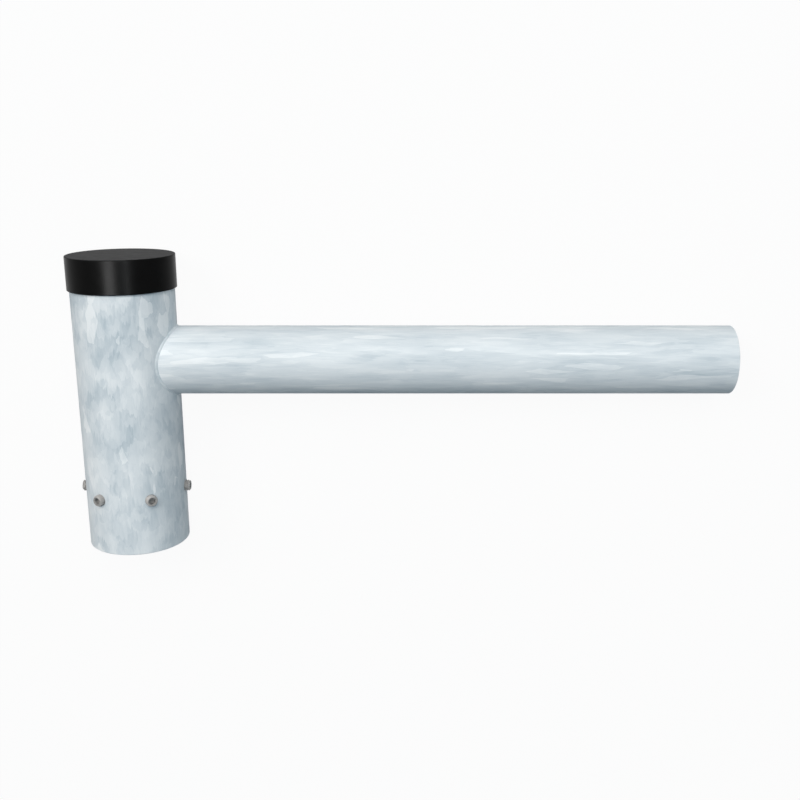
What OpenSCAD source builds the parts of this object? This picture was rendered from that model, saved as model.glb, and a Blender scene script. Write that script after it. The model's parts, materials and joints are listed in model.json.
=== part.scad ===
// Lighting column bracket: a galvanised sleeve that drops over the top of a lighting column,
// with one straight outreach arm for a lantern, a slip-on end cap and a ring of grub screws.
// Every piece is drawn as it stands in use, with the sleeve upright on the Z axis, the arm along X
// and the origin at the centre of the sleeve's mouth. lie_down() then lays it on the floor.

/* [Sleeve] */
// Outer diameter of the sleeve tube
sleeve_od = 88.9; // [82:0.1:120]
// Wall of the sleeve tube
sleeve_wall = 4; // [3:0.1:6]
// Length of the sleeve, from its open mouth to the end under the cap
sleeve_length = 258; // [240:1:400]

/* [Arm] */
// Outer diameter of the arm tube, which is also the spigot for the lantern
arm_od = 60.3; // [42.4:0.1:70]
// Wall of the arm tube
arm_wall = 4; // [2.6:0.1:6]
// Cut length of the arm tube, from the tips of its saddle cut to its open end
arm_length = 500; // [250:5:1500]
// Height of the arm's axis above the sleeve's mouth
arm_height = 168; // [120:1:190]
// Diameter of the cable hole from the sleeve into the arm
cable_hole_d = 40; // [20:1:46]

/* [Weld] */
// Leg of the fillet weld between the arm and the sleeve
weld_leg = 1.2; // [1:0.1:4]
// How far the weld's face swells past a straight line between its toes
weld_crown = 0.15; // [0.1:0.05:0.5]
// Height of the step at each toe of the weld
weld_toe = 0.1; // [0.05:0.01:0.2]

/* [Cap] */
// Wall of the cap's skirt
cap_wall = 1.9; // [1.2:0.1:4]
// Thickness of the cap's top
cap_top = 3; // [1.5:0.1:6]
// How far the skirt reaches down over the sleeve
cap_skirt = 26; // [10:1:50]
// Play between the skirt and the sleeve, measured on the radius
cap_play = 0.1; // [0.05:0.05:0.4]
// Radius of the cap's top edge
cap_edge = 0.7; // [0.3:0.1:1.1]

/* [Grub screws] */
// Thread diameter of a grub screw
screw_d = 10; // [8:1:12]
// Length of a grub screw
screw_length = 8; // [8:1:16]
// Height of the ring of screws above the sleeve's mouth
screw_height = 50; // [20:1:90]
// How far a screw's tip stays back from the sleeve's bore
screw_setback = 0.55; // [0.05:0.05:1]
// Play between a screw and its hole, measured on the radius
screw_play = 0.05; // [0.05:0.05:0.2]
// Width across the flats of the hexagon socket
socket_flats = 5; // [4:0.5:6]
// Depth of the hexagon socket
socket_depth = 4; // [3:0.5:6]
// Chamfer on both ends of a grub screw
screw_chamfer = 0.9; // [0.4:0.1:1.2]

/* [Hidden] */
$fn = 256;

// The ring of screws starts right under the arm
screw_count = 6;
screw_turn = 360 / screw_count;

zinc = [0.80, 0.83, 0.86];
black = [0.09, 0.09, 0.10];
steel = [0.62, 0.61, 0.60];

// How far a cutting tool runs past the face that it cuts
through = 1;

sleeve_r = sleeve_od / 2;
sleeve_bore_r = sleeve_r - sleeve_wall;
arm_r = arm_od / 2;
arm_bore_r = arm_r - arm_wall;
arm_end_x = saddle_x(arm_r, 90) + arm_length;
cap_bore_r = sleeve_r + cap_play;
cap_r = cap_bore_r + cap_wall;
screw_r = screw_d / 2;
screw_tip_x = sleeve_bore_r + screw_setback;
screw_head_x = screw_tip_x + screw_length;

// Rings round the weld, and points across its face
weld_rings = 72;
weld_face_steps = 4;
// How deep the weld's root is drawn under both tubes, before they are cut out of it
weld_root = 0.8;

// Lying on its side, the bracket rests on its cap, or on the screw next to the arm where that
// reaches lower, and on the lower edge of the arm's open end, which hangs down by arm_droop
screw_off_floor = screw_turn / 2 - droop(cap_r);
screw_low = screw_head_x * cos(screw_off_floor) + (screw_r - screw_chamfer) * sin(screw_off_floor);
rest_height = max(cap_r, screw_low);
arm_droop = droop(rest_height);

// Angle that brings the arm's end down to the floor, when the sleeve's axis lies at a height
function droop(height) = asin(height / norm([arm_end_x, arm_r])) - atan2(arm_r, arm_end_x);

// Distance from the sleeve's axis to its outside, along a line parallel to the arm that lies
// off the arm's axis by radius r, at angle a from straight up
function saddle_x(r, a) = sqrt(pow(sleeve_r, 2) - pow(r * sin(a), 2));

// Lays the upright bracket on its side, with the front up and the arm's end on the floor
module lie_down() {
    rotate([-90, arm_droop, 0]) children();
}

// A rod from x0 to x1 along the arm's direction, at a height above the mouth
module rod_along_x(r, x0, x1, height) {
    translate([x0, 0, height]) rotate([0, 90, 0]) cylinder(r = r, h = x1 - x0);
}

// Turns its children to the place of screw number i, where 0 is under the arm
module at_screw(i) {
    rotate([0, 0, i * screw_turn]) children();
}

module column_sleeve() {
    drill_reach = sleeve_r + through;
    color(zinc) lie_down() difference() {
        // The tube is turned so that its own seam runs between two screws, clear of every hole
        rotate([0, 0, screw_turn / 2]) difference() {
            cylinder(r = sleeve_r, h = sleeve_length);
            translate([0, 0, -through]) cylinder(r = sleeve_bore_r, h = sleeve_length + 2 * through);
        }
        rod_along_x(cable_hole_d / 2, 0, drill_reach, arm_height);
        // Each pass of the drill goes right through the tube and makes two opposite screw holes
        for (i = [0:screw_count / 2 - 1]) {
            at_screw(i) rod_along_x(screw_r + screw_play, -drill_reach, drill_reach, screw_height);
        }
    }
}

module outreach_arm() {
    color(zinc) lie_down() difference() {
        rod_along_x(arm_r, 0, arm_end_x, arm_height);
        rod_along_x(arm_bore_r, -through, arm_end_x + through, arm_height);
        cylinder(r = sleeve_r, h = sleeve_length);
    }
}

// One point of the weld: x along the arm, r off the arm's axis, at angle a from straight up
function weld_point(x, r, a) = [x, r * sin(a), arm_height + r * cos(a)];

// The weld's outline at angle a: its root under both tubes, then its face from the toe on the
// arm to the toe on the sleeve, swelling out between them
function weld_section(a) =
    let (
        arm_toe_x = saddle_x(arm_r, a) + weld_leg,
        sleeve_toe_r = arm_r + weld_leg,
        sleeve_toe_x = saddle_x(sleeve_toe_r, a) + weld_toe
    )
    concat(
        [
            weld_point(sleeve_toe_x - weld_root, sleeve_toe_r, a),
            weld_point(saddle_x(arm_r, a) - weld_root, arm_r - weld_root, a),
            weld_point(arm_toe_x, arm_r - weld_root, a)
        ],
        [
            for (i = [0:weld_face_steps])
            let (
                share = i / weld_face_steps,
                swell = weld_crown * sin(180 * share),
                x = arm_toe_x + (sleeve_toe_x - arm_toe_x) * share + swell,
                r = arm_r + weld_toe + (sleeve_toe_r - arm_r - weld_toe) * share + swell
            )
            weld_point(x, r, a)
        ]
    );

module saddle_weld() {
    sections = [for (k = [0:weld_rings - 1]) weld_section(360 * k / weld_rings)];
    side = len(sections[0]);
    faces = [
        for (k = [0:weld_rings - 1], j = [0:side - 1])
        let (next_k = (k + 1) % weld_rings, next_j = (j + 1) % side)
        each [
            [k * side + j, k * side + next_j, next_k * side + next_j],
            [k * side + j, next_k * side + next_j, next_k * side + j]
        ]
    ];
    color(zinc) lie_down() difference() {
        polyhedron(points = [for (section = sections) each section], faces = faces);
        cylinder(r = sleeve_r, h = sleeve_length);
        rod_along_x(arm_r, 0, arm_end_x, arm_height);
    }
}

module top_cap() {
    rim = sleeve_length - cap_skirt;
    top = sleeve_length + cap_top;
    color(black) lie_down() rotate_extrude() {
        difference() {
            union() {
                translate([0, rim]) square([cap_r, top - rim - cap_edge]);
                translate([0, top - cap_edge]) square([cap_r - cap_edge, cap_edge]);
                intersection() {
                    translate([cap_r - cap_edge, top - cap_edge]) circle(r = cap_edge, $fn = 48);
                    translate([cap_r - cap_edge, top - cap_edge]) square(cap_edge);
                }
            }
            translate([0, rim - through]) square([cap_bore_r, cap_skirt + through]);
        }
    }
}

// Outline of half a grub screw, with the chamfer on both ends
module screw_outline() {
    polygon([
        [0, 0],
        [screw_r - screw_chamfer, 0],
        [screw_r, screw_chamfer],
        [screw_r, screw_length - screw_chamfer],
        [screw_r - screw_chamfer, screw_length],
        [0, screw_length]
    ]);
}

module grub_screw(number) {
    color(steel) lie_down() at_screw(number - 1) {
        translate([screw_tip_x, 0, screw_height]) rotate([0, 90, 0]) difference() {
            rotate_extrude() screw_outline();
            translate([0, 0, screw_length - socket_depth]) {
                cylinder(r = socket_flats / 2 / cos(30), h = socket_depth + through, $fn = 6);
            }
        }
    }
}

column_sleeve();
outreach_arm();
saddle_weld();
top_cap();
grub_screw(1);  // grub_screw_1
grub_screw(2);  // grub_screw_2
grub_screw(3);  // grub_screw_3
grub_screw(4);  // grub_screw_4
grub_screw(5);  // grub_screw_5
grub_screw(6);  // grub_screw_6
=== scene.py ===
"""Dresses a lighting column bracket: two galvanised tubes, their weld, a cap and six screws."""

import json
import math

import bmesh
import bpy
from mathutils import Matrix, Vector


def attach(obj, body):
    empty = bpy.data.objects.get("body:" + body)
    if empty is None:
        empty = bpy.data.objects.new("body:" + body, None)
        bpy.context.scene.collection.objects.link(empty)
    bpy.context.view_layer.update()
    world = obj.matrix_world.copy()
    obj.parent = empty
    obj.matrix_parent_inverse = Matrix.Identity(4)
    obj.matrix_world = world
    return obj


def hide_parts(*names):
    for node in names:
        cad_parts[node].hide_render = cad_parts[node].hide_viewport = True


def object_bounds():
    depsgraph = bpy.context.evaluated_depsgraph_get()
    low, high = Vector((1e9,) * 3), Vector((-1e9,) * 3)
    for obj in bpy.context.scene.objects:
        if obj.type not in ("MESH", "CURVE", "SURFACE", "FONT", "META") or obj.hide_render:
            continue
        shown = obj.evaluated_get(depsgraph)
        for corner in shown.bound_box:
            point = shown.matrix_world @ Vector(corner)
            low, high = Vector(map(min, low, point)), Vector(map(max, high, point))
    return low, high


bl_info = {
    "name": "Lighting Column Bracket",
    "version": (1, 0, 0),
    "blender": (4, 5, 0),
    "location": "View3D > Sidebar > Bracket",
    "description": "Models and finishes a galvanised bracket round its packed frame",
    "category": "Add Mesh",
}

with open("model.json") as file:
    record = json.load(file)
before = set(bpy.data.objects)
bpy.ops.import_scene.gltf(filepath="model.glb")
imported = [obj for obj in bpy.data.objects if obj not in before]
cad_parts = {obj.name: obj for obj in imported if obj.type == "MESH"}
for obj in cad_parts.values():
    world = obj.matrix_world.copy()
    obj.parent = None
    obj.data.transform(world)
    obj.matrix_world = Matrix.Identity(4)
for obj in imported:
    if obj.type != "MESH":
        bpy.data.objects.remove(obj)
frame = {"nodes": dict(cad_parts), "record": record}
frame_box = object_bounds()

MM = 0.001
BODY = "root"
# Points closer than this are one point
SAME_POINT = 1e-6
# How far from a measured place a point may lie and still be on it
CLOSE = 2e-5
# Faces that meet at more than this have a sharp edge between them
SHARP_ANGLE = math.radians(32)
# Turns what points up the Z axis to point along X
UP_TO_X = Matrix.Rotation(math.radians(90), 4, "Y")
# The attribute of a screw's points that is 1 in its socket and 0 elsewhere, where painted shade and
# dirt darken the steel
IN_SOCKET = "in_socket"

# Widths in the zinc's pattern, as shares of the width of its largest flakes
FLAKE_WIDTHS = (1, 0.6, 0.36)
CLOUD_WIDTH = 1.9
BRISTLE_WIDTH = 0.1
SHARD_WIDTH = 0.6
# How far the bristles drag the flakes along the tube, as such a share
BRISTLE_DRAG = 0.55
# How many times as far as the flakes the bristles and shards are drawn out along the tube
BRISTLE_STRETCH = 5
SHARD_STRETCH = 1.6
# How strongly the clouds, each size of flake and the bristles change the zinc's tone
CLOUD_WEIGHT = 1.2
FLAKE_WEIGHT = 0.2
BRISTLE_WEIGHT = 0.28
# Flakes whose own grey is above this are bright shards
SHARD_GREY = 0.92


def mount(name):
    """One of the mounts that the packed record states."""
    return next(m for m in frame["record"]["mounts"] if m["name"] == name)


# The bracket lies on its side. These turn it from standing to lying and back.
arm_way = Vector(mount("lantern_spigot")["axis"])
DROOP = math.atan2(-arm_way.z, arm_way.x)
LYING = Matrix.Rotation(DROOP, 4, "Y") @ Matrix.Rotation(math.radians(-90), 4, "X")
STANDING = LYING.inverted()


def standing_points(node):
    """The points of a packed node, with the bracket turned back upright."""
    return [STANDING @ v.co for v in frame["nodes"][node].data.vertices]


# What the packed pieces measure, with the sleeve upright on the Z axis and the arm along X
sleeve_points = standing_points("column_sleeve")
SLEEVE_RADIUS = max(p.xy.length for p in sleeve_points)
SLEEVE_BORE = mount("column_socket")["dims"]["r_mm"] * MM
SLEEVE_LENGTH = max(p.z for p in sleeve_points)
ARM_HEIGHT = mount("lantern_spigot")["pos_m"][1]


def off_arm_axis(point):
    """How far a point lies from the arm's axis."""
    return math.hypot(point.y, point.z - ARM_HEIGHT)


arm_points = standing_points("outreach_arm")
ARM_RADIUS = mount("lantern_spigot")["dims"]["r_mm"] * MM
ARM_BORE = min(off_arm_axis(p) for p in arm_points)
ARM_END = max(p.x for p in arm_points)
CABLE_HOLE = min(off_arm_axis(p) for p in sleeve_points if p.x > 0)
WELD_LEG = max(off_arm_axis(p) for p in standing_points("saddle_weld")) - ARM_RADIUS

cap_points = standing_points("top_cap")
CAP_RADIUS = max(p.xy.length for p in cap_points)
CAP_TOP = max(p.z for p in cap_points)
CAP_RIM = min(p.z for p in cap_points)
CAP_BORE = min(p.xy.length for p in cap_points if p.z < CAP_RIM + CLOSE)

SCREW_NODES = sorted(name for name in frame["nodes"] if name.startswith("grub_screw"))
# The first screw is the one under the arm, so it points along X
screw_points = standing_points(SCREW_NODES[0])
SCREW_TIP = min(p.x for p in screw_points)
SCREW_HEAD = max(p.x for p in screw_points)
SCREW_RADIUS = max(p.y for p in screw_points)
SCREW_HEIGHT = sum(p.z for p in screw_points) / len(screw_points)


def seen(red, green, blue):
    """A colour as the eye sees it, from 0 to 255, made linear."""
    shares = (c / 255 for c in (red, green, blue))
    return tuple(c / 12.92 if c <= 0.04045 else ((c + 0.055) / 1.055) ** 2.4 for c in shares)


def length_property(name, description, default):
    """A size in metres, shown in the scene's own unit."""
    return bpy.props.FloatProperty(
        name=name, description=description, default=default, min=0, precision=5, unit="LENGTH"
    )


def power_property(name, description, default):
    """The power of a lamp in watts."""
    return bpy.props.FloatProperty(
        name=name, description=description, default=default, min=0, unit="POWER"
    )


def size_property(name, description, default):
    """A width and a height in metres."""
    return bpy.props.FloatVectorProperty(
        name=name, description=description, default=default, min=0, size=2, unit="LENGTH"
    )


def colour_property(name, description, default):
    """A colour that a finish starts from."""
    return bpy.props.FloatVectorProperty(
        name=name, description=description, default=default, min=0, max=1, subtype="COLOR"
    )


class BracketTubes(bpy.types.PropertyGroup):
    """Sizes of the sleeve, the arm and the weld between them."""

    sleeve_radius: length_property("Sleeve Radius", "Outer radius of the sleeve", SLEEVE_RADIUS)
    sleeve_bore: length_property("Sleeve Bore", "Radius of the bore over the column", SLEEVE_BORE)
    sleeve_length: length_property("Sleeve Length", "Length of the sleeve", SLEEVE_LENGTH)
    arm_radius: length_property("Arm Radius", "Outer radius of the arm", ARM_RADIUS)
    arm_bore: length_property("Arm Bore", "Radius of the bore along the arm", ARM_BORE)
    arm_height: length_property("Arm Height", "Height of the arm above the mouth", ARM_HEIGHT)
    arm_end: length_property("Arm End", "Distance of the arm's end from the sleeve's axis", ARM_END)
    cable_hole: length_property("Cable Hole", "Radius of the hole into the arm", CABLE_HOLE)
    rim_round: length_property("Rim Rounding", "Rounding on the ends of the tubes", 0.5 * MM)
    hole_chamfer: length_property("Hole Chamfer", "Chamfer on the drilled holes", 0.25 * MM)
    weld_leg: length_property("Weld Leg", "Leg of the fillet weld", WELD_LEG)
    weld_crown: length_property("Weld Crown", "Swell of the weld's face", 0.15 * MM)
    weld_ripple: length_property("Weld Ripple", "Height of the ripples on the weld", 0.06 * MM)
    ripple_pitch: length_property("Ripple Pitch", "Distance from ripple to ripple", 2.4 * MM)
    zinc_light: colour_property("Light Zinc", "Colour of the brightest flakes", seen(234, 237, 238))
    zinc_middle: colour_property("Middle Zinc", "Colour of most flakes", seen(208, 215, 219))
    zinc_dark: colour_property("Dark Zinc", "Colour of the dullest flakes", seen(163, 179, 188))


class BracketCap(bpy.types.PropertyGroup):
    """Sizes of the plastic cap on the sleeve's top."""

    radius: length_property("Radius", "Outer radius of the cap", CAP_RADIUS)
    bore: length_property("Bore", "Inner radius of the skirt", CAP_BORE)
    top: length_property("Top", "Height of the cap's top face", CAP_TOP)
    rim: length_property("Rim", "Height of the skirt's lower rim", CAP_RIM)
    edge_round: length_property("Edge Rounding", "Rounding on the top edge", 0.7 * MM)
    rim_round: length_property("Rim Rounding", "Rounding on the skirt's rim", 0.3 * MM)
    plastic: colour_property("Plastic", "Colour of the plastic", seen(5, 5, 5))
    # The top's colour is paler with dust and with a painted sheen
    dust_and_sheen: colour_property("Dust", "Colour of the slightly dusty top", seen(24, 24, 25))


class BracketScrews(bpy.types.PropertyGroup):
    """Sizes of the socket grub screws."""

    radius: length_property("Radius", "Outer radius of the thread", SCREW_RADIUS)
    tip: length_property("Tip", "Distance of the tip from the sleeve's axis", SCREW_TIP)
    head: length_property("Head", "Distance of the socket end from the sleeve's axis", SCREW_HEAD)
    height: length_property("Height", "Height of the ring of screws", SCREW_HEIGHT)
    pitch: length_property("Thread Pitch", "Distance from thread to thread", 1.5 * MM)
    socket_flats: length_property("Socket Flats", "Width across the socket's flats", 5 * MM)
    socket_depth: length_property("Socket Depth", "Depth of the socket's flats", 3.6 * MM)
    socket_mouth: length_property("Socket Mouth", "Radius of the socket's countersink", 3.4 * MM)
    hole_play: length_property("Hole Play", "Play between a screw and its hole", 0.05 * MM)
    steel: colour_property("Steel", "Colour of the screws", seen(182, 179, 176))


class BracketStage(bpy.types.PropertyGroup):
    """The camera, the lamps and the floor."""

    lens: bpy.props.FloatProperty(
        name="Lens",
        description="Focal length on a sensor 36 mm wide",
        default=43.70,
        min=1,
        unit="CAMERA",
    )
    tilt: bpy.props.FloatProperty(
        name="Tilt",
        description="Angle by which the camera looks down on the standing bracket",
        default=math.radians(15.05),
        subtype="ANGLE",
    )
    camera_place: bpy.props.FloatVectorProperty(
        name="Camera Place",
        description="The camera's place, before the arm's droop turns it",
        default=(0.2413, 0.35694, 0.84106),
        subtype="TRANSLATION",
        unit="LENGTH",
    )
    arm_power: power_property("Arm Power", "Power of the tall lamp over the arm", 74)
    sleeve_power: power_property("Sleeve Power", "Power of the square lamp beside the sleeve", 60)
    low_power: power_property("Low Power", "Power of the low lamp over the arm", 20)
    lamp_reach: length_property("Lamp Reach", "Distance of the lamps from the bracket", 3.6)
    tall_size: size_property("Tall Size", "Width and height of the tall lamps", (1.08, 3.24))
    square_size: size_property("Square Size", "Width and height of the square lamp", (1.62, 1.62))
    wide_strip: size_property("Wide Strip", "Width and height of the wide strip", (1.08, 2.16))
    thin_strip: size_property("Thin Strip", "Width and height of the thin strip", (0.216, 2.16))
    strip_glow: bpy.props.FloatProperty(
        name="Strip Glow",
        description="Power of the strips for each square metre, in watts",
        default=95,
        min=0,
    )
    cool_light: colour_property("Cool Light", "Colour of the low lamp", (0.65, 0.86, 1.0))
    warm_light: colour_property("Warm Light", "Colour of the other lamps", (1.0, 0.975, 0.95))
    world_level: bpy.props.FloatProperty(
        name="World Level", description="Strength of the light all round", default=0.11, min=0
    )
    world_light: colour_property("World Light", "Colour of the light all round", (0.5, 0.8, 1.0))
    floor_size: length_property("Floor Size", "Width of the floor", 12)
    floor_tone: colour_property("Floor", "Colour of the floor", (0.65, 0.65, 0.65))
    white_share: bpy.props.FloatProperty(
        name="White Share",
        description="Share of plain white in the floor as it is seen",
        default=0.94,
        min=0,
        max=1,
    )


class Wire:
    """The output of a shader node, which sums can be written with."""

    def __init__(self, recipe, socket):
        self.recipe = recipe
        self.socket = socket

    def __add__(self, other):
        return self.recipe.sum("ADD", self, other)

    def __radd__(self, other):
        return self.recipe.sum("ADD", other, self)

    def __sub__(self, other):
        return self.recipe.sum("SUBTRACT", self, other)

    def __rsub__(self, other):
        return self.recipe.sum("SUBTRACT", other, self)

    def __mul__(self, other):
        return self.recipe.sum("MULTIPLY", self, other)

    def __rmul__(self, other):
        return self.recipe.sum("MULTIPLY", other, self)


class Recipe:
    """The shader nodes of one material, or of the world."""

    def __init__(self, tree):
        self.tree = tree
        self.tree.nodes.clear()

    def node(self, kind, settings=None, inputs=None, output=None):
        """Adds a node, sets it up, then sets or links its sockets. Gives one of its outputs."""
        made = self.tree.nodes.new(kind)
        for name, value in (settings or {}).items():
            if name == "stops":
                self.set_stops(made.color_ramp, value)
            else:
                setattr(made, name, value)
        for name, value in (inputs or {}).items():
            socket = self.find(made.inputs, name)
            if isinstance(value, Wire):
                self.tree.links.new(value.socket, socket)
            else:
                socket.default_value = value
        return Wire(self, self.find(made.outputs, output or 0)) if made.outputs else None

    def find(self, sockets, name):
        """A socket by its name or its number, among those in use."""
        used = [s for s in sockets if s.enabled]
        return used[name] if isinstance(name, int) else next(s for s in used if s.name == name)

    def set_stops(self, ramp, stops):
        """Gives a colour ramp its stops, as pairs of a place and a colour."""
        while len(ramp.elements) < len(stops):
            ramp.elements.new(0.5)
        for element, (place, colour) in zip(ramp.elements, stops):
            element.position = place
            element.color = (*colour, 1)

    def sum(self, operation, first, second):
        """A Math node on two values."""
        return self.node("ShaderNodeMath", {"operation": operation}, {0: first, 1: second})

    def between(self, value, low, high, to_low=0.0, to_high=1.0):
        """Takes a value from one range to another, and stops at the ends."""
        ends = {"From Min": low, "From Max": high, "To Min": to_low, "To Max": to_high}
        return self.node(
            "ShaderNodeMapRange", {"interpolation_type": "SMOOTHSTEP"}, {"Value": value, **ends}
        )

    def vector_sum(self, operation, first, second):
        """A Vector Math node on two vectors."""
        return self.node("ShaderNodeVectorMath", {"operation": operation}, {0: first, 1: second})

    def scaled(self, vector, factor):
        """A vector times a number."""
        inputs = {0: vector, "Scale": factor}
        return self.node("ShaderNodeVectorMath", {"operation": "SCALE"}, inputs)

    def mix(self, share, first, second):
        """Mixes two colours."""
        return self.node(
            "ShaderNodeMix", {"data_type": "RGBA"}, {"Factor": share, "A": first, "B": second}
        )

    def standing_place(self, stretch=(1, 1, 1), shift=(0, 0, 0)):
        """The place on the upright piece in millimetres, shifted, then divided by a stretch."""
        place = self.node("ShaderNodeTexCoord", output="Object")
        turn = STANDING.to_euler()
        upright = self.node(
            "ShaderNodeMapping", inputs={"Vector": place, "Rotation": turn, "Location": shift}
        )
        return self.vector_sum("MULTIPLY", upright, tuple(1 / MM / s for s in stretch))

    def noise(self, place, size, detail=2, output="Fac"):
        """Cloudy noise with patches of about a size."""
        inputs = {"Vector": place, "Scale": 1 / size, "Detail": detail}
        return self.node("ShaderNodeTexNoise", inputs=inputs, output=output)

    def warp(self, place, size, amount):
        """Pushes a place about by noise, so that straight edges on it waver."""
        push = self.noise(place, size, output="Color")
        centred = self.vector_sum("SUBTRACT", push, (0.5, 0.5, 0.5))
        return self.vector_sum("ADD", place, self.scaled(centred, amount))

    def flakes(self, place, size):
        """Crystal cells of about a size, each with a grey of its own."""
        inputs = {"Vector": place, "Scale": 1 / size}
        cells = self.node("ShaderNodeTexVoronoi", inputs=inputs, output="Color")
        return self.node("ShaderNodeSeparateColor", inputs={"Color": cells})


def new_material(name):
    """An empty material and the recipe for its nodes."""
    made = bpy.data.materials.new(name)
    made.use_nodes = True
    return made, Recipe(made.node_tree)


def galvanised(name, tubes, along, stretch, flake_size, contrast, lift, shine, shift=(0, 0, 0)):
    """Hot-dip zinc: overlapping flakes of several sizes, drawn out along the tube, and shards.

    along is the tube's direction, and stretch says how far the flakes are drawn out in it.
    flake_size is the width of the largest in millimetres. contrast and lift spread and raise the
    tone, which runs from 0, dark, to 1, light. shine raises the shards. shift moves the whole
    pattern, in metres.
    """
    material, recipe = new_material(name)

    def drawn_out(times):
        """The place for a pattern that is drawn out some times as far as the flakes."""
        longer = times * stretch - 1
        return recipe.standing_place(tuple(1 + longer * share for share in along), shift)

    bristles = recipe.noise(drawn_out(BRISTLE_STRETCH), flake_size * BRISTLE_WIDTH, detail=3)
    push = recipe.scaled(along, flake_size * BRISTLE_DRAG * (bristles - 0.5))
    brushed = recipe.vector_sum("ADD", drawn_out(1), push)
    wavering = recipe.warp(brushed, size=flake_size * 0.8, amount=flake_size * 0.5)
    tone = CLOUD_WEIGHT * (recipe.noise(brushed, flake_size * CLOUD_WIDTH, detail=7) - 0.5)
    for width in FLAKE_WIDTHS:
        tone = tone + FLAKE_WEIGHT * (recipe.flakes(wavering, flake_size * width) - 0.5)
    tone = tone + BRISTLE_WEIGHT * (bristles - 0.5)
    torn = recipe.warp(drawn_out(SHARD_STRETCH), size=flake_size * 0.4, amount=flake_size * 0.3)
    cells = recipe.flakes(torn, flake_size * SHARD_WIDTH)
    shards = recipe.between(cells, SHARD_GREY, SHARD_GREY + 0.005)
    tone = contrast * tone + shine * shards + lift
    stops = [(0, tubes.zinc_dark), (0.5, tubes.zinc_middle), (1, tubes.zinc_light)]
    colour = recipe.node("ShaderNodeValToRGB", {"stops": stops}, {"Fac": tone}, "Color")
    grain = recipe.noise(recipe.standing_place(), size=1.2, detail=3)
    normal = recipe.node(
        "ShaderNodeBump",
        inputs={"Strength": 0.2, "Distance": 0.1 * MM, "Height": 0.5 * grain + 0.5 * tone},
    )
    shader = recipe.node(
        "ShaderNodeBsdfPrincipled",
        inputs={
            "Base Color": colour,
            "Metallic": recipe.between(tone, 0.2, 0.9, 0.0, 0.04),
            "Roughness": recipe.between(tone, 0.2, 0.9, 0.56, 0.44),
            "Specular IOR Level": 0.01,
            "Normal": normal,
        },
    )
    recipe.node("ShaderNodeOutputMaterial", inputs={"Surface": shader})
    return material


def moulded_plastic(name, cap):
    """Black plastic with a fine moulded grain, duller on the top, and paler there with dust and a
    painted sheen.
    """
    material, recipe = new_material(name)
    place = recipe.standing_place()
    height = recipe.node("ShaderNodeSeparateXYZ", inputs={"Vector": place}, output="Z")
    # From 0 to 1 over the rounded edge
    top = cap.top / MM
    on_top = recipe.between(height, top - 0.5, top - 0.1)
    grain = recipe.noise(place, size=0.5)
    clouds = recipe.noise(place, size=9, detail=3)
    paler = tuple(c * 1.7 for c in cap.plastic)
    clean = recipe.mix(clouds, (*cap.plastic, 1), (*paler, 1))
    normal = recipe.node(
        "ShaderNodeBump", inputs={"Strength": 0.2, "Distance": 0.03 * MM, "Height": grain}
    )
    shader = recipe.node(
        "ShaderNodeBsdfPrincipled",
        inputs={
            # The top is paler, with dust and a painted sheen
            "Base Color": recipe.mix(on_top, clean, (*cap.dust_and_sheen, 1)),
            "Roughness": recipe.between(clouds, 0.3, 0.7, 0.29, 0.33) + 0.22 * on_top,
            "Specular IOR Level": 0.04,
            "Normal": normal,
        },
    )
    recipe.node("ShaderNodeOutputMaterial", inputs={"Surface": shader})
    return material


def stainless(name, screws):
    """Grey stainless steel, a little dull and uneven, and darkened in the socket by painted shade
    and dirt.
    """
    material, recipe = new_material(name)
    place = recipe.standing_place()
    clouds = recipe.noise(place, size=2.5, detail=3)
    grain = recipe.noise(place, size=0.3)
    socket_shade_and_dirt = recipe.node("ShaderNodeAttribute", {"attribute_name": IN_SOCKET}, output="Fac")
    darker = tuple(c * 0.78 for c in screws.steel)
    bare = recipe.mix(clouds, (*darker, 1), (*screws.steel, 1))
    # Painted shade and dirt: the socket and its countersink are darker, and the flat ring darkens
    # towards them
    shaded_dirty_steel = tuple(c * 0.55 for c in screws.steel)
    normal = recipe.node(
        "ShaderNodeBump", inputs={"Strength": 0.15, "Distance": 0.03 * MM, "Height": grain}
    )
    shader = recipe.node(
        "ShaderNodeBsdfPrincipled",
        inputs={
            "Base Color": recipe.mix(socket_shade_and_dirt, bare, (*shaded_dirty_steel, 1)),
            "Metallic": recipe.between(socket_shade_and_dirt, 0, 1, 0.12, 0),
            "Roughness": recipe.between(clouds, 0.3, 0.7, 0.45, 0.55),
            "Specular IOR Level": 0.2,
            "Normal": normal,
        },
    )
    recipe.node("ShaderNodeOutputMaterial", inputs={"Surface": shader})
    return material


def shown_rays(recipe):
    """1 on rays that show the background: from the camera, off gloss and through glass."""
    path = recipe.node("ShaderNodeLightPath").socket.node
    kinds = ("Camera", "Glossy", "Transmission")
    camera, gloss, glass = (Wire(recipe, path.outputs[f"Is {kind} Ray"]) for kind in kinds)
    return camera + gloss + glass


def studio_floor(name, stage):
    """A pale floor that shows as white and still keeps the bracket's shadow."""
    material, recipe = new_material(name)
    matt = recipe.node("ShaderNodeBsdfDiffuse", inputs={"Color": (*stage.floor_tone, 1)})
    glow = recipe.node("ShaderNodeEmission", inputs={"Color": (1, 1, 1, 1), "Strength": 1})
    share = shown_rays(recipe) * stage.white_share
    shader = recipe.node("ShaderNodeMixShader", inputs={0: share, 1: matt, 2: glow})
    recipe.node("ShaderNodeOutputMaterial", inputs={"Surface": shader})
    return material


def light_world(level, tint):
    """Even cool light from all round, which shows as plain white."""
    world = bpy.data.worlds.new("studio")
    world.use_nodes = True
    recipe = Recipe(world.node_tree)
    shown = shown_rays(recipe)
    strength = shown + (1 - shown) * level
    colour = recipe.mix(shown, (*tint, 1), (1, 1, 1, 1))
    light = recipe.node("ShaderNodeBackground", inputs={"Color": colour, "Strength": strength})
    recipe.node("ShaderNodeOutputWorld", inputs={"Surface": light})
    bpy.context.scene.world = world


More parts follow.
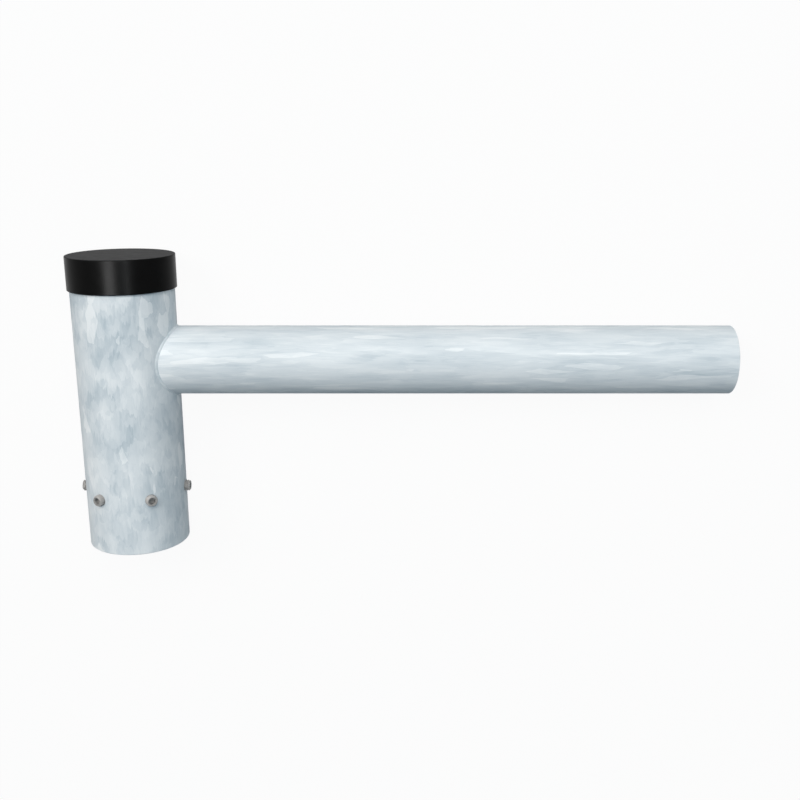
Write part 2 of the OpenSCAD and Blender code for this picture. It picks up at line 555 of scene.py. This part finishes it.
def spin_outline(bm, points, centre, axis, steps, cuts=(), closed=False):
    """Turns an outline once round an axis. cuts says how often each side is divided first."""
    corners = [bm.verts.new(point) for point in points]
    pairs = list(zip(corners, corners[1:]))
    if closed:
        pairs.append((corners[-1], corners[0]))
    sides = [bm.edges.new(pair) for pair in pairs]
    for side, count in zip(sides, cuts):
        if count:
            bmesh.ops.subdivide_edges(bm, edges=[side], cuts=count)
    outline = [v for v in bm.verts if not v.link_faces]
    edges = [e for e in bm.edges if not e.link_faces]
    bmesh.ops.spin(
        bm,
        geom=outline + edges,
        cent=centre,
        axis=axis,
        angle=math.tau,
        steps=steps,
        use_merge=True,
        use_duplicate=False,
    )
    bmesh.ops.remove_doubles(bm, verts=bm.verts, dist=SAME_POINT)


def edges_where(bm, test):
    """The edges whose ends both pass a test."""
    return [e for e in bm.edges if all(test(v.co) for v in e.verts)]


def open_edges_where(bm, test):
    """The edges of openings whose ends both pass a test."""
    return [e for e in edges_where(bm, test) if e.is_boundary]


def rings_at(bm, height):
    """The edges that run round the Z axis at a height."""
    level = edges_where(bm, lambda p: abs(p.z - height) < CLOSE)
    return [e for e in level if abs(e.verts[0].co.xy.length - e.verts[1].co.xy.length) < CLOSE]


def bevel_edges(bm, edges, width, segments):
    """Rounds edges over, or chamfers them where segments is 1."""
    bmesh.ops.bevel(
        bm,
        geom=edges,
        offset=width,
        offset_type="OFFSET",
        segments=segments,
        profile=0.5,
        affect="EDGES",
        material=-1,
        clamp_overlap=True,
    )


def hand_over(name, bm, material, node):
    """Lays a finished shape down as a piece that stands for its packed node."""
    bmesh.ops.transform(bm, matrix=LYING, verts=bm.verts, space=Matrix.Identity(4))
    bmesh.ops.recalc_face_normals(bm, faces=bm.faces)
    loose = [e for e in bm.edges if len(e.link_faces) != 2]
    if loose:
        raise RuntimeError(f"{name} has {len(loose)} edges that don't join two faces")
    old = bpy.data.objects.get(name)
    if old:
        bpy.data.objects.remove(old)
    mesh = bpy.data.meshes.new(name)
    bm.to_mesh(mesh)
    bm.free()
    mesh.materials.append(material)
    mesh.shade_smooth()
    mesh.set_sharp_from_angle(angle=SHARP_ANGLE)
    piece = bpy.data.objects.new(name, mesh)
    bpy.context.scene.collection.objects.link(piece)
    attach(piece, BODY)
    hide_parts(node)


class Hole:
    """A hole drilled into a tube on the Z axis, square to it."""

    def __init__(self, radius, height, turn, block_turn, block_height):
        self.radius = radius
        self.height = height
        self.turn = turn
        # Half of the piece of wall round the hole, as an angle and as a height
        self.block_turn = block_turn
        self.block_height = block_height

    def facing(self, point):
        """The point with the hole turned to face along X."""
        return Matrix.Rotation(-self.turn, 4, "Z") @ point

    def in_block(self, point, margin=0.0):
        """True for a point on the piece of wall round the hole."""
        p = self.facing(point)
        turned = abs(math.atan2(p.y, p.x)) < self.block_turn + margin / p.xy.length
        return turned and abs(p.z - self.height) < self.block_height + margin

    def on_edge(self, point):
        """True for a point on the drilled surface."""
        p = self.facing(point)
        return p.x > 0 and abs(math.hypot(p.y, p.z - self.height) - self.radius) < CLOSE

    def cut(self, bm, skin_radius):
        """Opens the hole in one skin of the tube."""
        on_skin = [f for f in bm.faces if abs(f.verts[0].co.xy.length - skin_radius) < CLOSE]
        block = [f for f in on_skin if self.in_block(f.calc_center_median())]
        bmesh.ops.delete(bm, geom=block, context="FACES")
        border = open_edges_where(
            bm,
            lambda p: self.in_block(p, CLOSE) and abs(p.xy.length - skin_radius) < CLOSE,
        )
        circle = bmesh.ops.create_circle(
            bm,
            segments=len(border),
            radius=self.radius,
            matrix=Matrix.Translation((0, 0, self.height)) @ UP_TO_X,
        )
        for v in circle["verts"]:
            v.co.x = math.sqrt(skin_radius**2 - v.co.y**2)
            v.co = Matrix.Rotation(self.turn, 4, "Z") @ v.co
        loops = border + list({e for v in circle["verts"] for e in v.link_edges})
        bridge = bmesh.ops.bridge_loops(bm, edges=loops)
        spokes = [e for e in bridge["edges"] if e not in loops]
        bmesh.ops.subdivide_edges(bm, edges=spokes, cuts=2, use_grid_fill=True)


def evenly(low, high, count):
    """Heights from low up to high in equal steps, without the last."""
    return [low + (high - low) * i / count for i in range(count)]


def sleeve_holes(tubes, screws, steps):
    """The screw holes and the cable hole, and the heights of the rows of points between them."""
    column = math.tau / steps
    row = tubes.sleeve_radius * column
    # How far from its centre the piece of wall round each hole reaches, in columns of faces and in
    # height, which is always a little past the hole
    hole_columns = steps // 30
    ring_reach = hole_columns * row
    arm_columns = math.ceil(1.2 * math.asin(tubes.cable_hole / tubes.sleeve_radius) / column)
    arm_reach = tubes.cable_hole * 1.25
    count = len(SCREW_NODES)
    holes = [
        Hole(
            screws.radius + screws.hole_play,
            screws.height,
            math.tau * i / count,
            hole_columns * column,
            ring_reach,
        )
        for i in range(count)
    ]
    holes.append(Hole(tubes.cable_hole, tubes.arm_height, 0, arm_columns * column, arm_reach))
    support = 2 * tubes.rim_round
    ring_low = screws.height - ring_reach
    ring_high = screws.height + ring_reach
    arm_low = tubes.arm_height - arm_reach
    arm_high = tubes.arm_height + arm_reach
    top = tubes.sleeve_length - support
    # Where each stretch of the wall begins and ends, and its rows of faces
    stretches = (
        (support, ring_low, 9),
        (ring_low, ring_high, 2 * hole_columns),
        (ring_high, arm_low, 16),
        (arm_low, arm_high, 24),
        (arm_high, top, 12),
    )
    heights = [z for low, high, rows in stretches for z in evenly(low, high, rows)]
    return holes, [0, *heights, top, tubes.sleeve_length]


class BRACKET_OT_sleeve(bpy.types.Operator):
    """Model the sleeve, with its screw holes and the cable hole into the arm"""

    bl_idname = "bracket.sleeve"
    bl_label = "Sleeve"

    def execute(self, context):
        tubes = context.scene.bracket_tubes
        screws = context.scene.bracket_screws
        steps = 180
        holes, heights = sleeve_holes(tubes, screws, steps)
        skins = (tubes.sleeve_radius, tubes.sleeve_bore)
        bm = bmesh.new()
        outline = [(tubes.sleeve_radius, 0, z) for z in heights]
        outline += [(tubes.sleeve_bore, 0, z) for z in reversed(heights)]
        spin_outline(bm, outline, centre=(0, 0, 0), axis=(0, 0, 1), steps=steps, closed=True)
        for hole in holes:
            for radius in skins:
                hole.cut(bm, radius)
        # The new points between a hole and the wall lie on straight lines, off the round skins
        for v in bm.verts:
            radius = min(skins, key=lambda r: abs(v.co.xy.length - r))
            v.co.xy = v.co.xy.normalized() * radius
        for hole in holes:
            bmesh.ops.bridge_loops(bm, edges=open_edges_where(bm, hole.on_edge))
        bmesh.ops.recalc_face_normals(bm, faces=bm.faces)
        for hole in holes:
            edges = [
                e
                for e in edges_where(bm, hole.on_edge)
                if any(all(abs(v.co.xy.length - r) < CLOSE for v in e.verts) for r in skins)
            ]
            bevel_edges(bm, edges, tubes.hole_chamfer, segments=1)
        for end in (0, tubes.sleeve_length):
            bevel_edges(bm, rings_at(bm, end), tubes.rim_round, segments=3)
        zinc = galvanised(
            "zinc_on_sleeve",
            tubes,
            along=(0, 0, 1),
            stretch=1.5,
            flake_size=15,
            contrast=1,
            lift=0.58,
            shine=0.36,
            # Puts the larger patches about where the photograph has them
            shift=(-0.694, 0.753, 0.381),
        )
        hand_over("sleeve_tube", bm, zinc, "column_sleeve")
        return {"FINISHED"}


def saddle(tubes, radius, angle):
    """The distance from the sleeve's axis to its outside, at a radius and angle round the arm."""
    return math.sqrt(tubes.sleeve_radius**2 - (radius * math.sin(angle)) ** 2)


def round_arm(tubes, point):
    """The distance of a point from the arm's axis, and its angle round it from straight up."""
    up = point.z - tubes.arm_height
    return math.hypot(point.y, up), math.atan2(point.y, up)


class BRACKET_OT_arm(bpy.types.Operator):
    """Model the arm, with its saddle cut against the sleeve"""

    bl_idname = "bracket.arm"
    bl_label = "Arm"

    def execute(self, context):
        tubes = context.scene.bracket_tubes
        start = tubes.sleeve_radius
        end = tubes.arm_end
        support = end - 2 * tubes.rim_round
        # How far the cut end is pressed into the sleeve, so that no light shows between them
        bite = 0.2 * MM
        outer = tubes.arm_height + tubes.arm_radius
        inner = tubes.arm_height + tubes.arm_bore
        outline = [
            (start, 0, outer),
            (support, 0, outer),
            (end, 0, outer),
            (end, 0, inner),
            (support, 0, inner),
            (start, 0, inner),
        ]
        bm = bmesh.new()
        # The long sides and the flat end are divided, which keeps their faces short
        spin_outline(
            bm,
            outline,
            centre=(0, 0, tubes.arm_height),
            axis=(1, 0, 0),
            steps=144,
            cuts=(30, 0, 1, 0, 30, 0),
            closed=True,
        )
        bmesh.ops.recalc_face_normals(bm, faces=bm.faces)
        for rim in (tubes.arm_radius, tubes.arm_bore):
            edges = edges_where(
                bm,
                lambda p: abs(p.x - end) < CLOSE and abs(round_arm(tubes, p)[0] - rim) < CLOSE,
            )
            bevel_edges(bm, edges, tubes.rim_round, segments=3)
        for v in bm.verts:
            share = (v.co.x - start) / (end - start)
            cut = saddle(tubes, *round_arm(tubes, v.co)) - bite
            v.co.x = cut + share * (end - cut)
        zinc = galvanised(
            "zinc_on_arm",
            tubes,
            along=(1, 0, 0),
            stretch=6,
            flake_size=6.5,
            contrast=0.66,
            lift=0.6,
            shine=0.22,
        )
        hand_over("arm_tube", bm, zinc, "outreach_arm")
        return {"FINISHED"}


class BRACKET_OT_weld(bpy.types.Operator):
    """Model the fillet weld along the saddle, with its ripples"""

    bl_idname = "bracket.weld"
    bl_label = "Weld"

    def execute(self, context):
        tubes = context.scene.bracket_tubes
        leg = tubes.weld_leg
        # How far the weld's hidden sides are sunk into the tubes
        sunk = 0.3 * MM
        # How far each ripple slants towards the weld's toes, as an angle of the wave
        slant = 1.2
        face_steps = 6
        ripple_steps = 6
        outline = [(-sunk, -sunk), (leg, -sunk)]
        for i in range(face_steps + 1):
            share = i / face_steps
            swell = tubes.weld_crown * math.sin(math.pi * share)
            outline.append((leg * (1 - share) + swell, leg * share + swell))
        outline.append((-sunk, leg))
        foot = tubes.arm_height + tubes.arm_radius
        ripples = round(math.tau * (tubes.arm_radius + leg) / tubes.ripple_pitch)
        bm = bmesh.new()
        spin_outline(
            bm,
            [(along, 0, foot + out) for along, out in outline],
            centre=(0, 0, tubes.arm_height),
            axis=(1, 0, 0),
            steps=ripples * ripple_steps,
            closed=True,
        )
        for v in bm.verts:
            radius, angle = round_arm(tubes, v.co)
            along = v.co.x
            out = radius - tubes.arm_radius
            if along > 0 and out > 0:
                wave = abs(math.sin(ripples * angle / 2 + slant * (along - out) / leg)) - 0.5
                lift = tubes.weld_ripple * wave * math.sin(math.pi * min(1, out / leg))
                radius += lift
                along += lift
            v.co.x = saddle(tubes, radius, angle) + along
            v.co.y = radius * math.sin(angle)
            v.co.z = tubes.arm_height + radius * math.cos(angle)
        zinc = galvanised(
            "zinc_on_weld",
            tubes,
            along=(1, 0, 0),
            stretch=1,
            flake_size=6,
            contrast=0.8,
            lift=0.58,
            shine=0,
        )
        hand_over("weld_bead", bm, zinc, "saddle_weld")
        return {"FINISHED"}


class BRACKET_OT_cap(bpy.types.Operator):
    """Model the plastic cap on the sleeve's top"""

    bl_idname = "bracket.cap"
    bl_label = "Cap"

    def execute(self, context):
        cap = context.scene.bracket_cap
        ceiling = context.scene.bracket_tubes.sleeve_length
        # Rows of points beside the rounded edges, which keep the flat faces flat
        near_edge = 3 * cap.edge_round
        near_rim = 3 * cap.rim_round
        outline = [
            (0, 0, cap.top),
            (cap.radius - near_edge, 0, cap.top),
            (cap.radius, 0, cap.top),
            (cap.radius, 0, cap.top - near_edge),
            (cap.radius, 0, cap.rim + near_rim),
            (cap.radius, 0, cap.rim),
            (cap.bore, 0, cap.rim),
            (cap.bore, 0, cap.rim + near_rim),
            (cap.bore, 0, ceiling),
            (0, 0, ceiling),
        ]
        bm = bmesh.new()
        # Only the long sides are divided
        spin_outline(
            bm,
            outline,
            centre=(0, 0, 0),
            axis=(0, 0, 1),
            steps=160,
            cuts=(3, 0, 0, 3, 0, 0, 0, 3, 3),
        )
        bmesh.ops.recalc_face_normals(bm, faces=bm.faces)
        top_edges = edges_where(
            bm, lambda p: abs(p.z - cap.top) < CLOSE and abs(p.xy.length - cap.radius) < CLOSE
        )
        bevel_edges(bm, top_edges, cap.edge_round, segments=5)
        bevel_edges(bm, rings_at(bm, cap.rim), cap.rim_round, segments=3)
        plastic = moulded_plastic("cap_plastic", cap)
        hand_over("end_cap", bm, plastic, "top_cap")
        return {"FINISHED"}


def grow(bm, edges, place):
    """Extrudes an opening's edges and moves each new point to its place. Gives the new edges."""
    grown = bmesh.ops.extrude_edge_only(bm, edges=edges)["geom"]
    for v in grown:
        if isinstance(v, bmesh.types.BMVert):
            v.co = place(v.co)
    return [e for e in grown if isinstance(e, bmesh.types.BMEdge) and e.is_boundary]


def to_radius(radius, height):
    """The move of a point to a height, and to a radius from the Z axis."""
    return lambda p: Vector((*(p.xy.normalized() * radius), height))


def to_hexagon(flats, height):
    """The move of a point to a height, and onto a hexagon about the Z axis."""
    sixth = math.tau / 6

    def place(p):
        angle = math.atan2(p.y, p.x) % sixth - sixth / 2
        return to_radius(flats / 2 / math.cos(angle), height)(p)

    return place


def thread_bolt(bm, screws, length, facets):
    """Winds a thread round the Z axis from 0 to a length, chamfered to its root at both ends."""
    # A metric thread's depth and crest follow from its pitch, and its flanks stand at 30 degrees
    pitch = screws.pitch
    depth = 0.6134 * pitch
    root = screws.radius - depth
    flank = depth * math.tan(math.radians(30))
    crest = pitch / 8
    foot = pitch - crest - 2 * flank
    outline = [(root, 0), (root, foot), (screws.radius, foot + flank)]
    outline += [(screws.radius, foot + flank + crest), (root, pitch)]
    turns = math.ceil(length / pitch) + 1
    verts = [bm.verts.new((x, 0, z - pitch)) for x, z in outline]
    edges = [bm.edges.new(pair) for pair in zip(verts, verts[1:])]
    bmesh.ops.spin(
        bm,
        geom=verts + edges,
        cent=(0, 0, 0),
        axis=(0, 0, 1),
        dvec=(0, 0, pitch / facets),
        angle=math.tau * turns,
        steps=facets * turns,
        use_merge=False,
        use_duplicate=False,
    )
    for v in bm.verts:
        height = min(max(v.co.z, 0), length)
        reach = root + min(height, length - height)
        v.co.xy = v.co.xy.normalized() * min(v.co.xy.length, reach)
        v.co.z = height
    bmesh.ops.remove_doubles(bm, verts=bm.verts, dist=SAME_POINT)
    return root


class BRACKET_OT_screws(bpy.types.Operator):
    """Model the grub screws, with their threads and hexagon sockets"""

    bl_idname = "bracket.screws"
    bl_label = "Grub Screws"

    def execute(self, context):
        screws = context.scene.bracket_screws
        length = screws.head - screws.tip
        steel = stainless("screw_steel", screws)
        for i, node in enumerate(SCREW_NODES):
            bm = bmesh.new()
            root = thread_bolt(bm, screws, length, facets=48)
            self.open_socket(bm, screws, length)
            self.cup_tip(bm, root)
            bmesh.ops.remove_doubles(bm, verts=bm.verts, dist=SAME_POINT)
            points = standing_points(node)
            spot = sum(points, Vector()) / len(points)
            turn = Matrix.Rotation(math.atan2(spot.y, spot.x), 4, "Z")
            stand = turn @ Matrix.Translation((screws.tip, 0, screws.height))
            # Each screw is turned a little further round than the one before
            wound = UP_TO_X @ Matrix.Rotation(0.4 * i, 4, "Z")
            bmesh.ops.transform(bm, matrix=stand @ wound, verts=bm.verts, space=Matrix.Identity(4))
            hand_over(f"socket_screw_{i + 1}", bm, steel, node)
        return {"FINISHED"}

    def open_socket(self, bm, screws, length):
        """Closes the outer end with a flat ring and a countersunk hexagon socket."""
        in_socket = bm.verts.layers.float.new(IN_SOCKET)
        end = open_edges_where(bm, lambda p: abs(p.z - length) < CLOSE)
        lead = 0.5 * MM
        drill_point = 0.8 * MM
        bottom = length - screws.socket_depth
        mouth = grow(bm, end, to_radius(screws.socket_mouth, length))
        top = grow(bm, mouth, to_hexagon(screws.socket_flats, length - lead))
        foot = grow(bm, top, to_hexagon(screws.socket_flats, bottom))
        point = grow(bm, foot, lambda p: Vector((0, 0, bottom - drill_point)))
        # These points carry the painted shade and dirt that darken the socket and fade out across
        # the flat ring
        for v in {v for e in (*mouth, *top, *foot, *point) for v in e.verts}:
            v[in_socket] = 1

    def cup_tip(self, bm, root):
        """Closes the inner end with the cup that bites into the column."""
        end = open_edges_where(bm, lambda p: abs(p.z) < CLOSE)
        cup_radius = root * 0.72
        cup_depth = cup_radius * 0.5
        lip = grow(bm, end, to_radius(cup_radius, 0))
        grow(bm, lip, lambda p: Vector((0, 0, cup_depth)))


def lamp_way(turn, rise):
    """The way to a lamp: turned from straight up to the arm's end, then raised to the cap."""
    flat = math.cos(rise)
    return Vector((math.sin(turn) * flat, math.sin(rise), math.cos(turn) * flat))


def area_lamp(name, aim, way, reach, size, power, colour):
    """A soft lamp that faces its aim from a distance, with its height along the sleeve."""
    data = bpy.data.lights.new(name, "AREA")
    data.shape = "RECTANGLE"
    data.size, data.size_y = size
    data.energy = power
    data.color = colour
    tall = (Vector((0, 1, 0)) - way * way.y).normalized()
    turned = Matrix((tall.cross(way), tall, way)).transposed().to_4x4()
    lamp = bpy.data.objects.new(name, data)
    lamp.matrix_world = Matrix.Translation(aim + way * reach) @ turned
    lamp.visible_camera = False
    bpy.context.scene.collection.objects.link(lamp)
    return lamp


class BRACKET_OT_stage(bpy.types.Operator):
    """Set up the floor, the light and the camera"""

    bl_idname = "bracket.stage"
    bl_label = "Stage"

    def execute(self, context):
        stage = context.scene.bracket_stage
        low, high = frame_box
        middle = (low + high) / 2
        self.lay_floor(stage, low.z)
        light_world(stage.world_level, stage.world_light)
        # Each lamp's turn and rise in degrees, then its size, power and colour
        lamps = {
            "arm_lamp": (9, 33, stage.tall_size, stage.arm_power, stage.warm_light),
            "sleeve_lamp": (-34, 25, stage.square_size, stage.sleeve_power, stage.warm_light),
            "low_lamp": (20, 9, stage.tall_size, stage.low_power, stage.cool_light),
        }
        for name, (turn, rise, size, power, colour) in lamps.items():
            way = lamp_way(math.radians(turn), math.radians(rise))
            area_lamp(name, middle, way, stage.lamp_reach, size, power, colour)
        # The strips, each with its turn in degrees and its size, are seen in the cap's gloss alone
        glossy = bpy.data.collections.new("glossy_pieces")
        glossy.objects.link(bpy.data.objects["end_cap"])
        strips = {"wide_strip": (-12, stage.wide_strip), "thin_strip": (24, stage.thin_strip)}
        for name, (turn, size) in strips.items():
            way = lamp_way(math.radians(turn), 0)
            power = stage.strip_glow * size[0] * size[1]
            strip = area_lamp(name, middle, way, stage.lamp_reach, size, power, (1, 1, 1))
            strip.visible_diffuse = False
            strip.light_linking.receiver_collection = glossy
        self.place_camera(stage)
        context.scene.view_settings.view_transform = "Standard"
        return {"FINISHED"}

    def lay_floor(self, stage, height):
        """A wide flat floor at a height."""
        bm = bmesh.new()
        bmesh.ops.create_grid(bm, x_segments=1, y_segments=1, size=stage.floor_size / 2)
        bmesh.ops.translate(bm, verts=bm.verts, vec=(0, 0, height))
        mesh = bpy.data.meshes.new("floor")
        bm.to_mesh(mesh)
        bm.free()
        mesh.materials.append(studio_floor("floor_white", stage))
        floor = bpy.data.objects.new("floor", mesh)
        bpy.context.scene.collection.objects.link(floor)

    def place_camera(self, stage):
        """The photograph's camera, which looks down on the lying bracket."""
        droop = Matrix.Rotation(DROOP, 4, "Y")
        data = bpy.data.cameras.new("camera")
        data.lens = stage.lens
        data.sensor_width = 36
        camera = bpy.data.objects.new("camera", data)
        tilt = Matrix.Rotation(-stage.tilt, 4, "X")
        camera.matrix_world = droop @ Matrix.Translation(stage.camera_place) @ tilt
        bpy.context.scene.collection.objects.link(camera)
        bpy.context.scene.camera = camera


SETTINGS = {
    "bracket_tubes": BracketTubes,
    "bracket_cap": BracketCap,
    "bracket_screws": BracketScrews,
    "bracket_stage": BracketStage,
}
OPERATORS = (
    BRACKET_OT_sleeve,
    BRACKET_OT_arm,
    BRACKET_OT_weld,
    BRACKET_OT_cap,
    BRACKET_OT_screws,
    BRACKET_OT_stage,
)


class BRACKET_PT_panel(bpy.types.Panel):
    """Lists the bracket's sizes and colours, and what makes its pieces"""

    bl_label = "Lighting Column Bracket"
    bl_idname = "BRACKET_PT_panel"
    bl_space_type = "VIEW_3D"
    bl_region_type = "UI"
    bl_category = "Bracket"

    def draw(self, context):
        for operator in OPERATORS:
            self.layout.operator(operator.bl_idname)
        for name, group in SETTINGS.items():
            box = self.layout.box()
            box.label(text=group.__doc__)
            for setting in group.__annotations__:
                box.prop(getattr(context.scene, name), setting)


def register():
    for group in SETTINGS.values():
        bpy.utils.register_class(group)
    for name, group in SETTINGS.items():
        setattr(bpy.types.Scene, name, bpy.props.PointerProperty(type=group))
    for listed in (*OPERATORS, BRACKET_PT_panel):
        bpy.utils.register_class(listed)


def unregister():
    for listed in reversed((*OPERATORS, BRACKET_PT_panel)):
        bpy.utils.unregister_class(listed)
    for name in SETTINGS:
        delattr(bpy.types.Scene, name)
    for group in reversed(SETTINGS.values()):
        bpy.utils.unregister_class(group)


def main():
    """Makes the whole bracket and its stage."""
    register()
    bpy.ops.bracket.sleeve()
    bpy.ops.bracket.arm()
    bpy.ops.bracket.weld()
    bpy.ops.bracket.cap()
    bpy.ops.bracket.screws()
    bpy.ops.bracket.stage()


if __name__ == "__main__":
    main()
